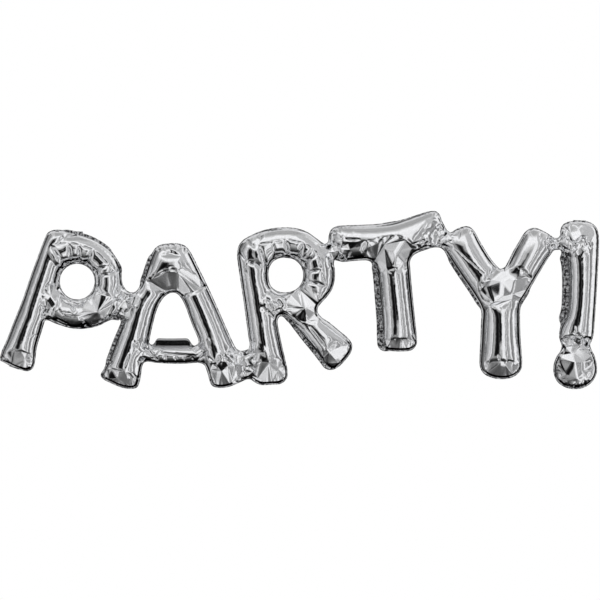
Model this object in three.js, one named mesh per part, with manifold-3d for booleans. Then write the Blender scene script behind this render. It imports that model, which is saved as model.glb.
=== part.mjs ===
// Silver foil letter balloon: six joined letter cells and a dot, filled with air.
// Millimetres, +Z up, letters in the XZ plane, front faces -Y, origin at the middle of the word.

import * as THREE from "three";
import { mergeVertices } from "three/addons/utils/BufferGeometryUtils.js";
import Module from "manifold-3d";

// Driving dimensions
const WORD_WIDTH = 838; // 33 inch word
const DRAWN_WIDTH = 838; // width that the letter tables below are drawn for
const SCALE = WORD_WIDTH / DRAWN_WIDTH;
const SEAM_WIDTH = 4.2; // flat welded edge outside each cell
const SEAM_LIP = 1.5; // the welded edge's reach under the cell
const SEAM_THICKNESS = 0.8;
const FILM_GAP = 0.3; // between neighbouring pieces
const TUBE_DEPTH = 1.0; // depth of a stroke over its width
const DOT_DEPTH = 0.66;
const END_LENGTH = 1.05; // length of a stroke's rounded end over its half width
const END_WIDTH = 0.66; // width of the closed end over the stroke's width
const END_DEPTH = 0.03;
const NECK_WEB = 4.5; // flat film beside each neck
const NECK_REACH = 24; // half length of a neck before its letters cut it
const TAB_THICKNESS = 0.6;
const TAB_CLEARANCE = 0.9; // between a folded tab and the film behind it
const RIBBON_HOLE_RADIUS = 2.2;
const RIBBON_HOLE_PLACE = 0.3; // back from a tab's tip, over its straight length
const CUTTER_SIZE = 1000; // wider than the word

// Facets
const STROKE_SIDES = 12;
const STROKE_STEPS = 9;
const RING_STEPS = 28;
const NECK_STEPS = 4;
const TAB_ARC_STEPS = 5;
const WELD_TOLERANCE = 1e-4; // under which two vertices are one

// Strokes: [x0, z0, radius0, x1, z1, radius1, bow], the radius being half the tube's width.
// Rings: [x, z, middle radius, tube radius, height over width].
// Dots: [x, z, radius].
const LETTERS = {
  letter_p: {
    strokes: [[-399.0, -92.6, 18.6, -336.5, 87.6, 15.8, 0]],
    rings: [[-313.2, 26.6, 43.1, 17.7, 1.07]],
  },
  letter_a: {
    strokes: [
      [-258.0, -118.0, 21.6, -186.2, 73.0, 15.0, 0],
      [-98.0, -117.6, 21.0, -174.5, 73.0, 15.6, 0],
      [-233.0, -70.7, 14.0, -122.0, -70.7, 14.0, 0],
      [-200.5, 32.5, 16.8, -154.0, 32.5, 16.8, 0],
    ],
  },
  letter_r: {
    strokes: [
      [-40.6, -114.1, 19.6, -72.1, 84.0, 16.4, 0],
      [56.0, -80.2, 22.6, -2.0, -13.5, 18.4, 0],
    ],
    rings: [[-19.9, 36.4, 44.2, 19.6, 1.0]],
  },
  letter_t: {
    strokes: [
      [49.0, 77.0, 21.8, 193.2, 101.5, 21.8, -5.2],
      [139.0, -67.9, 21.6, 123.9, 86.8, 21.6, 0],
    ],
  },
  letter_y: {
    strokes: [
      [220.0, 87.4, 21.5, 278.0, -2.0, 22.0, 0],
      [339.8, 89.7, 19.6, 285.6, -1.0, 21.0, 0],
      [280.7, -105.4, 24.2, 280.7, 16.8, 23.0, 0],
    ],
  },
  mark_stem: { strokes: [[386.1, -53.2, 19.9, 391.6, 107.1, 23.8, 0]] },
  mark_dot: { dots: [[384.7, -96.6, 25.5]] },
};

// Necks: name, the two cells, middle x and z, the cross direction's turn from +X in degrees,
// half width across the air passage, half depth
const NECKS = [
  ["neck_p_a", "letter_p", "letter_a", -246.4, -3.8, -22.8, 14, 6],
  ["neck_a_r", "letter_a", "letter_r", -75.7, -90.3, 10.0, 18, 7],
  ["neck_r_t", "letter_r", "letter_t", 43.8, 67.8, 27.0, 11, 6],
  ["neck_t_y", "letter_t", "letter_y", 192.8, 87.0, -23.2, 14, 7],
  ["neck_y_mark", "letter_y", "mark_stem", 361.2, 79.8, 0, 8, 5],
  ["neck_mark_dot", "mark_stem", "mark_dot", 387.1, -62.3, 90, 17, 8],
];

// Folded tails: name, x and z of the stroke's middle, its radius, turn about Y in degrees,
// width, straight length, wrapped angle in degrees, ribbon hole
const TAILS = [
  ["hang_tab_left", -313.2, 72.7, 18.9, 0, 18, 14, 52, true],
  ["hang_tab_middle", 128.5, 85.6, 21.8, -9.5, 18, 14, 52, true],
  ["hang_tab_right", 390.8, 83.3, 23.8, 2.0, 18, 14, 52, true],
  ["fill_valve", -393.2, -73.4, 19.3, 198.7, 15, 34, 58, false],
];

// Finishes: colour, roughness, metalness
const SILVER = [0xd9dade, 0.12, 1.0];
const SEAM_SILVER = [0xcfd0d3, 0.28, 1.0];
const NECK_SILVER = [0xe2e3e6, 0.22, 1.0];
const TAIL_SILVER = [0xc4c5c8, 0.35, 1.0];

const wasm = await Module();
wasm.setup();

function toSolid(geometry) {
  geometry.deleteAttribute("normal");
  geometry.deleteAttribute("uv");
  const merged = mergeVertices(geometry, WELD_TOLERANCE);
  const mesh = new wasm.Mesh({
    numProp: 3,
    vertProperties: new Float32Array(merged.attributes.position.array),
    triVerts: new Uint32Array(merged.index.array),
  });
  return new wasm.Manifold(mesh);
}

function toGeometry(solid) {
  const mesh = solid.getMesh();
  const geometry = new THREE.BufferGeometry();
  geometry.setAttribute("position", new THREE.BufferAttribute(mesh.vertProperties, 3));
  geometry.setIndex(new THREE.BufferAttribute(mesh.triVerts, 1));
  geometry.computeVertexNormals();
  return geometry;
}

function union(solids) {
  return solids.reduce((joined, solid) => joined.add(solid));
}

// Everything behind the plane y = from, or in front of it
function halfSpace(from, side) {
  const geometry = new THREE.BoxGeometry(CUTTER_SIZE, CUTTER_SIZE, CUTTER_SIZE);
  geometry.translate(0, from + (side * CUTTER_SIZE) / 2, 0);
  return toSolid(geometry);
}

// A tube along a gently bowed line whose ends close to a flat seam, like a filled pillow.
// With a thickness it is the flat plate of the same outline.
function pillow([x0, z0, radius0, x1, z1, radius1, bow], depth, grow, steps, thickness) {
  const start = new THREE.Vector2(x0, z0);
  const end = new THREE.Vector2(x1, z1);
  const along = end.clone().sub(start).normalize();
  const side = new THREE.Vector2(-along.y, along.x);
  const from = start.clone().addScaledVector(along, -grow);
  const to = end.clone().addScaledVector(along, grow);
  const bend = from.clone().lerp(to, 0.5).addScaledVector(side, 2 * bow);
  const line = new THREE.QuadraticBezierCurve(from, bend, to);
  const length = line.getLength();
  const sides = thickness ? 4 : STROKE_SIDES;
  const corner = 1 / Math.cos(Math.PI / sides);
  const geometry = new THREE.CylinderGeometry(corner, corner, 1, sides, steps, false, Math.PI / sides);
  const vertices = geometry.attributes.position;
  for (let i = 0; i < vertices.count; i += 1) {
    const place = 0.5 - 0.5 * Math.cos(Math.PI * (vertices.getY(i) + 0.5));
    const radius = THREE.MathUtils.lerp(radius0, radius1, place) + grow;
    const inward = Math.min(1, (Math.min(place, 1 - place) * length) / (END_LENGTH * radius));
    const swell = Math.sqrt(inward * (2 - inward));
    const middle = line.getPoint(place);
    const tangent = line.getTangent(place);
    const across = vertices.getX(i) * radius * (END_WIDTH + (1 - END_WIDTH) * swell);
    const full = thickness ? thickness / 2 : radius * depth * (END_DEPTH + (1 - END_DEPTH) * swell);
    const forward = vertices.getZ(i) * full;
    vertices.setXYZ(i, middle.x - tangent.y * across, forward, middle.y + tangent.x * across);
  }
  return toSolid(geometry);
}

function ring([x, z, middleRadius, tubeRadius, height], grow, thickness) {
  const sides = thickness ? 4 : STROKE_SIDES;
  const corner = 1 / Math.cos(Math.PI / sides);
  const radius = (tubeRadius + grow) * corner;
  const full = thickness ? (thickness / 2) * corner : radius * TUBE_DEPTH;
  const outline = [];
  for (let i = 0; i <= sides; i += 1) {
    const turn = (2 * Math.PI * (i % sides) + Math.PI) / sides;
    outline.push(new THREE.Vector2(middleRadius + radius * Math.cos(turn), full * Math.sin(turn)));
  }
  const geometry = new THREE.LatheGeometry(outline, RING_STEPS);
  geometry.scale(1, 1, height);
  geometry.translate(x, 0, z);
  return toSolid(geometry);
}

function dot([x, z, radius], grow, thickness) {
  const full = radius + grow;
  const sheet = new THREE.CylinderGeometry(full, full, thickness, 2 * STROKE_SIDES);
  const lens = new THREE.SphereGeometry(full, 2 * STROKE_SIDES, STROKE_SIDES);
  lens.rotateX(Math.PI / 2);
  lens.scale(1, DOT_DEPTH, 1);
  const geometry = thickness ? sheet : lens;
  geometry.translate(x, 0, z);
  return toSolid(geometry);
}

// The closed form of one letter, grown or shrunk all round
function cell(name, grow, thickness = 0) {
  const { strokes = [], rings = [], dots = [] } = LETTERS[name];
  return union([
    ...strokes.map((row) => pillow(row, TUBE_DEPTH, grow, STROKE_STEPS, thickness)),
    ...rings.map((row) => ring(row, grow, thickness)),
    ...dots.map((row) => dot(row, grow, thickness)),
  ]);
}

// The welded edge: the letter's flat outline less the inside of the cell
function seam(name) {
  const outline = cell(name, SEAM_WIDTH, SEAM_THICKNESS);
  return outline.subtract(cell(name, -SEAM_LIP, 2 * SEAM_THICKNESS));
}

// The front half of a cell has side -1, the back half has side 1
function half(name, side) {
  const from = side * (SEAM_THICKNESS / 2 + FILM_GAP);
  return cell(name, 0).intersect(halfSpace(from, side));
}

function neck([, first, second, x, z, turn, halfWidth, halfDepth]) {
  const angle = THREE.MathUtils.degToRad(turn);
  const reachX = NECK_REACH * Math.cos(angle);
  const reachZ = NECK_REACH * Math.sin(angle);
  const line = [x - reachX, z - reachZ, halfWidth, x + reachX, z + reachZ, halfWidth, 0];
  const passage = pillow(line, halfDepth / halfWidth, 0, NECK_STEPS, 0);
  const web = pillow(line, 1, NECK_WEB, NECK_STEPS, SEAM_THICKNESS);
  let solid = passage.add(web);
  for (const name of [first, second]) {
    solid = solid.subtract(cell(name, FILM_GAP));
    solid = solid.subtract(cell(name, SEAM_WIDTH + FILM_GAP, SEAM_THICKNESS + 2 * FILM_GAP));
  }
  return separate(solid)[0];
}

// The loose pieces of a solid, the largest first
function separate(solid) {
  return solid.decompose().sort((one, other) => other.volume() - one.volume());
}

// A film strip that starts on the welded edge's back and folds down over the cell behind it
function tail(radius, width, straight, wrap, hole) {
  const inner = radius + TAB_CLEARANCE;
  const outer = inner + TAB_THICKNESS;
  const back = SEAM_THICKNESS / 2 + FILM_GAP;
  const top = radius + SEAM_WIDTH;
  const last = THREE.MathUtils.degToRad(wrap);
  const first = Math.asin((back + TAB_THICKNESS) / inner);
  const faceLine = [new THREE.Vector2(back + TAB_THICKNESS, top)];
  const lyingLine = [new THREE.Vector2(back, top)];
  for (let i = 0; i <= TAB_ARC_STEPS; i += 1) {
    const turn = THREE.MathUtils.lerp(first, last, i / TAB_ARC_STEPS);
    faceLine.push(new THREE.Vector2(outer * Math.sin(turn), outer * Math.cos(turn)));
    lyingLine.push(new THREE.Vector2(inner * Math.sin(turn), inner * Math.cos(turn)));
  }
  lyingLine[1].x = back;
  const run = new THREE.Vector2(Math.cos(last), -Math.sin(last)).multiplyScalar(straight);
  faceLine.push(faceLine.at(-1).clone().add(run));
  lyingLine.push(lyingLine.at(-1).clone().add(run));
  const outline = new THREE.Shape([...faceLine, ...lyingLine.reverse()]);
  const geometry = new THREE.ExtrudeGeometry(outline, { depth: width, bevelEnabled: false });
  geometry.translate(0, 0, -width / 2);
  geometry.rotateX(Math.PI / 2);
  geometry.rotateZ(Math.PI / 2);
  const strip = toSolid(geometry);
  if (!hole) return strip;
  const punchLength = 10 * TAB_THICKNESS;
  const punch = new THREE.CylinderGeometry(RIBBON_HOLE_RADIUS, RIBBON_HOLE_RADIUS, punchLength);
  punch.rotateX(Math.PI / 2 - last);
  const middle = faceLine.at(-1).clone().addScaledVector(run, -RIBBON_HOLE_PLACE);
  punch.translate(0, middle.x, middle.y);
  return strip.subtract(toSolid(punch));
}

const balloon = new THREE.Group();
balloon.scale.setScalar(SCALE);

function addPiece(parent, name, solid, [color, roughness, metalness]) {
  const material = new THREE.MeshStandardMaterial({ color, roughness, metalness });
  const mesh = new THREE.Mesh(toGeometry(solid), material);
  mesh.name = name;
  parent.add(mesh);
  return mesh;
}

for (const name of Object.keys(LETTERS)) {
  const letter = new THREE.Group();
  const [edge, counterEdge] = separate(seam(name));
  addPiece(letter, `${name}_front_film`, half(name, -1), SILVER);
  addPiece(letter, `${name}_back_film`, half(name, 1), SILVER);
  addPiece(letter, `${name}_seam`, edge, SEAM_SILVER);
  if (counterEdge) addPiece(letter, `${name}_counter_seam`, counterEdge, SEAM_SILVER);
  balloon.add(letter);
}

for (const row of NECKS) addPiece(balloon, row[0], neck(row), NECK_SILVER);

for (const [name, x, z, radius, turn, width, straight, wrap, hole] of TAILS) {
  const mesh = addPiece(balloon, name, tail(radius, width, straight, wrap, hole), TAIL_SILVER);
  mesh.position.set(x, 0, z);
  mesh.rotation.y = THREE.MathUtils.degToRad(turn);
}

export default balloon;
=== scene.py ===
import math
from collections import namedtuple

import bpy
import bmesh
import numpy as np
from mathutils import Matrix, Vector, geometry
from mathutils.bvhtree import BVHTree
from mathutils.kdtree import KDTree


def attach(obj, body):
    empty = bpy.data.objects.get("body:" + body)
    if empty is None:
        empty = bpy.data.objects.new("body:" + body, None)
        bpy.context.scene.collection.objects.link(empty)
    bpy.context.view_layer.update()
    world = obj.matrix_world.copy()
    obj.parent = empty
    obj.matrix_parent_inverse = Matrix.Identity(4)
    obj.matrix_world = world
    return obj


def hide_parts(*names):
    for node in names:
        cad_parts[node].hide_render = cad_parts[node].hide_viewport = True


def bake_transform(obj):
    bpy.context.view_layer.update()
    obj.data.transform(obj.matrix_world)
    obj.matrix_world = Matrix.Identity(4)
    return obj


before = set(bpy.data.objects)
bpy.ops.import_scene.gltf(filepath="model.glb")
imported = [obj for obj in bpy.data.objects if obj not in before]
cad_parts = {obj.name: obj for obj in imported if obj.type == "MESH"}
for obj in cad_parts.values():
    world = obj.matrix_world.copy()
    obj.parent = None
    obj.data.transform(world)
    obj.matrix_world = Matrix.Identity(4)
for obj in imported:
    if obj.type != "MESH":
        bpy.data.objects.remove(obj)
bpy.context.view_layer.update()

# The view: a long lens straight on at the word, at the height of its middle.
# One image pixel is 1.4 mm on the plane of the welded edges.
PIXEL = 0.0014
IMAGE_PIXELS = 600
LENS, SENSOR = 150, 36
distance = IMAGE_PIXELS * PIXEL * LENS / SENSOR


def placed(name, data):
    """A new object in the scene."""
    made = bpy.data.objects.new(name, data)
    bpy.context.scene.collection.objects.link(made)
    return made


lens = bpy.data.cameras.new("studio_camera")
lens.lens, lens.sensor_width = LENS, SENSOR
lens.clip_start, lens.clip_end = 0.1, 100
camera = placed("studio_camera", lens)
camera.location = (0, -distance, 0)
camera.rotation_euler = (math.radians(90), 0, 0)
bpy.context.scene.camera = camera
bpy.context.scene.view_settings.view_transform = "Standard"


# The studio: white all round for the eye, and for the mirror of the foil a pale room with
# tall soft panels, dark gaps between them and the dark behind the camera.
class Shade:
    """A socket of a node tree. Arithmetic with it adds Math nodes."""

    def __init__(self, tree, socket=None):
        self.tree, self.socket = tree, socket

    def node(self, kind, settings=None, sockets=None, out=0):
        """A new node, its sockets set to values or linked to other sockets. Gives its output."""
        made = self.tree.nodes.new(kind)
        for name, value in (settings or {}).items():
            if name == "stops":
                ramp = made.color_ramp.elements
                while len(ramp) < len(value):
                    ramp.new(1.0)
                for stop, (place, shade) in zip(ramp, value):
                    stop.position, stop.color = place, (shade, shade, shade, 1)
            else:
                setattr(made, name, value)
        for name, value in (sockets or {}).items():
            if isinstance(value, Shade):
                self.tree.links.new(value.socket, made.inputs[name])
            else:
                made.inputs[name].default_value = value
        return Shade(self.tree, made.outputs[out] if made.outputs else None)

    def maths(self, operation, *values):
        return self.node("ShaderNodeMath", {"operation": operation}, dict(enumerate(values)))

    def ranged(self, start, end, low=0.0, high=1.0, kind="LINEAR"):
        """Low to high as the socket's value runs from start to end."""
        return self.node("ShaderNodeMapRange", {"interpolation_type": kind},
                         {0: self, 1: start, 2: end, 3: low, 4: high})

    def between(self, low, high):
        """One colour at 0 and the other at 1."""
        return self.node("ShaderNodeMix", {"data_type": "RGBA"}, {0: self, 6: low, 7: high}, out=2)

    def clouds(self, scale, detail, roughness=0.5):
        """Noise at the place that the socket gives."""
        return self.node("ShaderNodeTexNoise",
                         sockets={0: self, "Scale": scale, "Detail": detail, "Roughness": roughness})

    def __add__(self, other):
        return self.maths("ADD", self, other)

    def __sub__(self, other):
        return self.maths("SUBTRACT", self, other)

    def __rsub__(self, other):
        return self.maths("SUBTRACT", other, self)

    def __mul__(self, other):
        return self.maths("MULTIPLY", self, other)

    def __truediv__(self, other):
        return self.maths("DIVIDE", self, other)

    __radd__, __rmul__ = __add__, __mul__


def emptied(owner):
    """The node tree of a new world or material, with nothing in it."""
    owner.use_nodes = True
    owner.node_tree.nodes.clear()
    return Shade(owner.node_tree)


# Bearing and height of the middle, half width, half height and soft edge, in degrees, and brightness
PANELS = [
    (-77, 0, 32, 52, 10, 0.355), (-60, 4, 12, 46, 8, 0.656), (-112, 0, 10, 55, 6, 0.133),
    (180, 30, 44, 44, 8, 0.711), (180, -13, 42, 21, 6, 0.674), (-134, -10, 13, 42, 5, 0.006),
    (55, 0, 52, 50, 4, 0.911), (64, 0, 6.5, 56, 2, 0.296), (35, 0, 5, 56, 2, 0.342), (90, 4, 14, 46, 6, 1),
    (57, 0, 2.2, 60, 1, 0.084), (24, 0, 2, 60, 1.2, 0.179), (43, 0, 1.4, 60, 1, 0.133),
    (72, 0, 1.4, 60, 1, 0.147), (-88, 0, 2, 60, 1, 0.073), (-45, 0, 1.6, 60, 1, 0.133),
    (-52, 0, 1.4, 60, 1, 1), (-21, -4, 13, 24, 3, 0.051), (-21, -4, 7, 20, 2, 0.004), (9, 0, 2.4, 45, 1, 1),
    (131, -10, 19, 44, 5, 0.001), (-22, 46, 46, 13, 6, 1), (50, 44, 26, 18, 8, 0.538),
    (180, -63, 88, 26, 6, 0.001), (-3, 0, 7, 7, 2.5, 0.001), (168, 0, 3, 40, 2, 0.033),
    (-170, 10, 5, 50, 3, 0.095), (150, 40, 5, 30, 3, 1),
]

world = bpy.data.worlds.new("studio")
bpy.context.scene.world = world
room = emptied(world)
way = room.node("ShaderNodeTexCoord")
split = room.node("ShaderNodeSeparateXYZ", sockets={0: way})
across, ahead, up = (Shade(room.tree, split.socket.node.outputs[i]) for i in range(3))
bearing = room.maths("ARCTAN2", across, 0 - ahead) * math.degrees(1)
height = room.maths("ARCSINE", up) * math.degrees(1)
light = room.node("ShaderNodeValToRGB", {"stops": [
    (0.000, 0.005), (0.144, 0.033), (0.256, 0.163), (0.356, 0.42), (0.433, 0.507),
    (0.511, 0.342), (0.556, 0.319), (0.611, 0.448), (0.689, 0.711), (0.833, 0.674),
    (0.922, 0.393), (1.000, 0.477),
]}, {0: (height + 90) / 180})
for turn, rise, wide, tall, soft, bright in PANELS:
    aside = room.maths("PINGPONG", bearing - turn + 720.0, 180.0)
    above = room.maths("ABSOLUTE", height - rise)
    side, level = (off.ranged(half - soft, half + soft, 1.0, 0.0, "SMOOTHSTEP")
                   for off, half in ((aside, wide), (above, tall)))
    light = (side * level).between(light, (bright, bright, bright * 1.01, 1))


def streaks(angle, detail, roughness, dark, bright):
    """Lines of shade and light in the room, drawn over an angle."""
    noise = room.node("ShaderNodeTexNoise", {"noise_dimensions": "1D"},
                      {"W": angle, "Detail": detail, "Roughness": roughness})
    return noise.ranged(0.3, 0.7, dark, bright)


# Folds of the studio's curtains: fine upright lines, and fainter level ones
curtain = streaks(bearing * 0.11, 4.0, 0.62, 0.56, 1.34) * streaks(height * 0.12 + 30.0, 3.0, 0.6, 0.80, 1.16)
light = room.node("ShaderNodeVectorMath", {"operation": "SCALE"}, {0: light, "Scale": curtain})
mirror = room.node("ShaderNodeBackground", sockets={0: light, 1: 1.0})
paper = room.node("ShaderNodeBackground", sockets={0: (1, 1, 1, 1), 1: 1.0})
seen = room.node("ShaderNodeLightPath")
both = room.node("ShaderNodeMixShader", sockets={0: seen, 1: mirror, 2: paper})
room.node("ShaderNodeOutputWorld", sockets={0: both})

# Two soft boxes light the floor from above. The foil mirrors the room's panels instead.
SOFTBOXES = [("key_softbox", (-0.9, -1.3, 1.5), 1.2, 26), ("fill_softbox", (1.2, -0.8, 1.2), 1.0, 12)]
for name, place, size, watts in SOFTBOXES:
    lamp = bpy.data.lights.new(name, "AREA")
    lamp.size, lamp.energy = size, watts
    holder = placed(name, lamp)
    holder.location = place
    holder.rotation_euler = (-Vector(place)).to_track_quat("-Z", "Y").to_euler()
    holder.visible_glossy = False

# The floor: pale painted board under the hanging word, out of the camera's frame, fading out
# towards its rim.
FLOOR_HEIGHT, FLOOR_RADIUS = -1.3, 2.1
FADE_START, FADE_END = 1.6, 2.3
board = bpy.data.meshes.new("studio_floor")
shape = bmesh.new()
bmesh.ops.create_circle(shape, cap_ends=True, radius=FLOOR_RADIUS, segments=96)
bmesh.ops.translate(shape, verts=shape.verts, vec=(0, 0, FLOOR_HEIGHT))
shape.to_mesh(board)
shape.free()
paint = bpy.data.materials.new("pale_floor_paint")
coat = emptied(paint)
spot = coat.node("ShaderNodeTexCoord", out=3)
far = coat.node("ShaderNodeVectorMath", {"operation": "LENGTH"}, {0: spot}, out=1)
tone = spot.clouds(60.0, 3.0).between((0.80, 0.80, 0.795, 1), (0.84, 0.84, 0.835, 1))
fade = far.ranged(FADE_START, FADE_END, 1.0, 0.0, "SMOOTHSTEP")
board_paint = coat.node("ShaderNodeBsdfPrincipled",
                        sockets={"Base Color": tone, "Roughness": 0.85, "Alpha": fade})
coat.node("ShaderNodeOutputMaterial", sockets={0: board_paint})
board.materials.append(paint)
floor = placed("studio_floor", board)
floor.visible_glossy = False

# The weld line: the two sheets of film are sealed together along one line round the whole
# word and along one line round each counter. Places are across and up, in millimetres.
WELD_POINTS = {
    "word": [
        (-418.9, -84), (-417.5, -74.2), (-410.2, -57.4), (-398.7, -28), (-387.5, 0), (-378, 28),
        (-367.8, 56), (-357.7, 82.6), (-352.1, 93.8), (-341.6, 97.6), (-333.2, 96.9), (-322, 94.8),
        (-308, 91.3), (-294, 86.8), (-284.2, 81.9), (-274.4, 75.6), (-266, 68.6), (-259, 60.2),
        (-254.1, 51.8), (-251.6, 42), (-250.6, 30.8), (-248.5, 21), (-243.6, 13.3), (-236.6, 9.8),
        (-229.6, 11.2), (-224, 18.2), (-219.1, 29.4), (-214.2, 43.4), (-208.6, 58.8), (-203, 70.7),
        (-199.5, 74.2), (-193.2, 77), (-182, 78.4), (-170.8, 78.4), (-161, 74.9), (-155.4, 68.6),
        (-150.5, 60.2), (-142.8, 44.8), (-133, 25.2), (-123.2, 4.2), (-112, -21), (-102.2, -43.4),
        (-93.8, -61.6), (-89.6, -68.6), (-84, -71.8), (-77, -71.4), (-71.4, -68.6), (-69.6, -63),
        (-71, -53.2), (-74.5, -28), (-78.4, 0), (-82.6, 28), (-86, 50.4), (-87.1, 64.4), (-85, 75.6),
        (-79.1, 83.3), (-70, 88.9), (-56, 95.2), (-39.2, 99.4), (-21, 100.8), (-4.2, 99.4), (9.8, 94.5),
        (21, 86.8), (29.4, 80.5), (35, 77.7), (39.9, 81.2), (41.3, 91), (44.8, 98.7), (51.8, 102.5),
        (63, 103.6), (84, 104.3), (109.2, 105.7), (133, 109.2), (151.2, 114.1), (168, 119.7),
        (180.6, 123.2), (190.4, 123.2), (195.3, 118.3), (197.4, 112), (201.6, 103.6), (205.8, 96.6),
        (211.4, 94.1), (218.4, 98), (226.8, 101.5), (235.2, 102.2), (242.2, 97.3), (250.6, 82.6),
        (259, 68.6), (267.4, 56), (274.4, 47.6), (280.7, 43), (287, 45.5), (293.3, 56), (299.6, 68.6),
        (308, 82.6), (315, 93.8), (321.3, 98.7), (329, 100.1), (338.8, 96.6), (348.6, 91), (355.6, 86.4),
        (361.2, 86.4), (364.7, 90.3), (365.4, 98), (368.2, 104.3), (375.2, 108.5), (385, 109.9),
        (397.6, 109.9), (407.4, 107.1), (414.4, 100.8), (417.2, 91), (417.5, 70), (415.8, 35), (413.8, 0),
        (411.6, -30.8), (409.9, -49), (407.4, -57.4), (405.3, -63), (407.4, -70), (411.6, -78.4),
        (414.4, -89.6), (414.4, -102.2), (408.8, -113.4), (399, -121.1), (386.4, -123.9), (372.4, -121.8),
        (361.2, -114.1), (356.3, -103.6), (355.9, -91), (359.8, -79.8), (365.4, -71.4), (367.2, -64.4),
        (365.1, -57.4), (363.7, -51.8), (364.7, -40.6), (369.6, -28), (373.5, -14), (374.9, 7), (374.9, 35),
        (373.1, 53.2), (368.9, 65.8), (364.7, 70.7), (359.8, 71), (354.9, 70), (350, 63.7), (343, 53.2),
        (333.9, 37.8), (324.8, 22.4), (316.4, 8.4), (308.4, -4.9), (307.3, -14), (307.3, -35), (308, -56),
        (309.4, -72.8), (310.1, -86.8), (308.7, -96.6), (302.4, -104.3), (294, -108.5), (280, -109.9),
        (266, -107.1), (256.9, -101.5), (252.7, -92.4), (252.4, -77), (253.4, -56), (254.1, -35),
        (254.8, -18.2), (252.7, -9.8), (247.1, 0), (238.7, 13.3), (226.8, 30.8), (214.9, 49), (205.8, 63.7),
        (200.9, 71), (196, 73.9), (190.4, 74.5), (183.4, 73.5), (175, 70.7), (165.2, 67.2), (157.5, 62.3),
        (153.3, 54.6), (153.7, 42), (155.4, 21), (158.2, -7), (161, -35), (162.8, -53.2), (162.4, -61.6),
        (156.1, -69.3), (144.2, -71.1), (128.8, -70.7), (120.4, -69.3), (116.2, -63), (115.2, -53.2),
        (114.5, -35), (112.7, -14), (110.6, 7), (108.5, 28), (106.1, 44.8), (102.2, 52.5), (95.2, 56),
        (86.8, 56.3), (72.8, 55.3), (60.2, 54.2), (53.2, 55.6), (48.3, 56.3), (46.6, 51.1), (48, 42),
        (47.6, 28), (44.1, 15.4), (36.4, 4.2), (28, -4.9), (23.8, -11.9), (24.5, -18.2), (29.4, -24.5),
        (40.6, -32.2), (53.2, -42.7), (65.8, -53.2), (71.8, -61.6), (71.1, -71.4), (63, -83.3),
        (53.2, -93.1), (45.5, -96.3), (37.8, -92.4), (30.1, -82.6), (19.6, -69.3), (7, -53.9),
        (-4.9, -38.5), (-14, -27.3), (-21.7, -22.1), (-28.7, -22.4), (-32.2, -28.7), (-30.1, -44.8),
        (-25.9, -64.4), (-21.7, -82.6), (-18.5, -98), (-19.2, -109.2), (-26.6, -116.2), (-39.2, -117.6),
        (-54.6, -118), (-63.7, -114.1), (-68.6, -110.6), (-74.2, -110.3), (-81.2, -113.1), (-89.6, -116.9),
        (-100.8, -121.1), (-113.4, -122.2), (-122.5, -119.4), (-126, -112), (-129.5, -99.4),
        (-133.7, -90.3), (-141.4, -87.2), (-161, -88.2), (-182, -88.2), (-203, -86.8), (-214.2, -85.4),
        (-219.1, -87.5), (-221.9, -93.8), (-223.3, -103.6), (-225.4, -114.8), (-228.9, -121.8),
        (-236.6, -123.6), (-249.2, -121.8), (-264.6, -115.5), (-275.1, -109.9), (-278.2, -105),
        (-273.7, -96.6), (-266.7, -81.9), (-261.8, -68.6), (-256.2, -53.9), (-250.6, -39.9),
        (-247.1, -29.4), (-248.5, -23.1), (-254.8, -21), (-261.8, -22.4), (-270.2, -28.7), (-280, -34.3),
        (-291.2, -37.8), (-305.2, -39.6), (-319.2, -38.9), (-331.8, -35.7), (-344.4, -31.2),
        (-352.8, -27.7), (-357.3, -28.4), (-359.4, -33.6), (-362.6, -44.1), (-366.8, -57.4), (-369.9, -70),
        (-371.6, -84), (-374.5, -94.5), (-380.8, -98.7), (-390.6, -97), (-404.6, -91.7), (-415.1, -86.1),
    ],
    "counter_of_p": [
        (-289.9, 38.8), (-298.9, 47.9), (-311.8, 51.5), (-324.8, 48), (-333.9, 38.5), (-337.1, 25.9),
        (-333.9, 13.3), (-324.8, 3.5), (-311.8, 0), (-298.9, 3.5), (-290.4, 12.6), (-286.6, 25.9),
    ],
    "counter_of_a": [
        (-211.7, -60.2), (-207.2, -64.4), (-196, -65.5), (-179.2, -65.8), (-161, -65.5), (-147, -64.8),
        (-141.4, -60.2), (-142.1, -53.2), (-147.7, -40.6), (-154, -23.8), (-160.3, -7), (-165.9, 3.5),
        (-172.9, 10.1), (-180.6, 10.9), (-189, 6.3), (-196.3, -2.8), (-201.9, -15.4), (-206.1, -30.8),
        (-211, -53.2),
    ],
    "counter_of_r": [
        (-29.4, 59.1), (-38.5, 53.9), (-44.1, 44.1), (-44.8, 30.8), (-41.3, 18.9), (-32.2, 11.9),
        (-21, 9.8), (-9.8, 11.9), (-0.7, 18.2), (4.5, 28), (5, 39.2), (0.7, 49.7), (-8.4, 57.4),
        (-19.6, 59.8),
    ],
}
WELD_SPACING = 4.4


def run_along(path):
    """How far along a path each of its points lies."""
    return np.concatenate([[0], np.cumsum(np.linalg.norm(np.diff(path, axis=0), axis=1))])


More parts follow.
